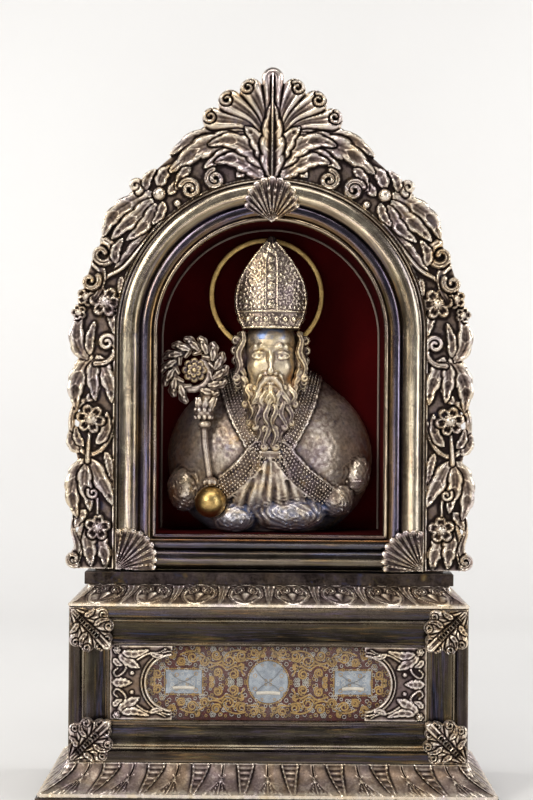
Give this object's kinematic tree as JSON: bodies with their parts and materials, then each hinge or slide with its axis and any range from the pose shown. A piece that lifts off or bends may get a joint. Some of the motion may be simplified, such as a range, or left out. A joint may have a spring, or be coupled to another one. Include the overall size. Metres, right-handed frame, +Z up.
{
  "type": "reliquary bust",
  "caption": "Bearded bishop's bust with mitre, halo and crozier in an arched chased silver frame, standing on a rectangular relic box with a glazed front.",
  "frame": {"origin": "middle of the underside of the foot slab", "axes": "+Z up, the front with the bust and the relic panel faces -Y, +X to the right seen from the front"},
  "size_m": [0.573, 0.2566, 0.9352],
  "materials": {
    "silver": "chased sheet silver, tarnished warm brown in the hollows with iridescent patches",
    "dark_silver": "plain sheet silver, tarnished nearly black",
    "gilt_silver": "worn gilding",
    "wood": "dark oiled walnut",
    "velvet": "short crimson pile",
    "glass": "clear pane",
    "paperwork": "red-brown ground under rolled gilt-edged paper",
    "relic_window": "pale silk under small panes"
  },
  "bodies": {
    "root": {"arch_head": "silver", "arch_sill": "silver", "arch_stile_left": "silver", "arch_stile_right": "silver", "border": "silver", "bust": "silver", "corner_leaf_lower_left": "silver", "corner_leaf_lower_right": "silver", "corner_leaf_upper_left": "silver", "corner_leaf_upper_right": "silver", "corner_shell_left": "silver", "corner_shell_right": "silver", "crozier": "silver", "crozier_ball": "gilt_silver", "end_plate_left": "silver", "end_plate_right": "silver", "foot_slab": "dark_silver", "frame_rail_bottom": "dark_silver", "frame_rail_top": "dark_silver", "frame_stile_left": "dark_silver", "frame_stile_right": "dark_silver", "front_board": "wood", "halo": "gilt_silver", "keystone_fan": "silver", "lower_cove": "silver", "mitre": "silver", "niche_back": "wood", "niche_floor": "wood", "niche_wall": "wood", "relic_box": "dark_silver", "relic_glass": "glass", "relic_panel": "paperwork", "relic_window_centre": "relic_window", "relic_window_left": "relic_window", "relic_window_right": "relic_window", "top_slab": "dark_silver", "upper_cove": "silver", "velvet_back": "velvet", "velvet_cord": "velvet", "velvet_floor": "velvet", "velvet_wall": "velvet"}
  },
  "joints": []
}
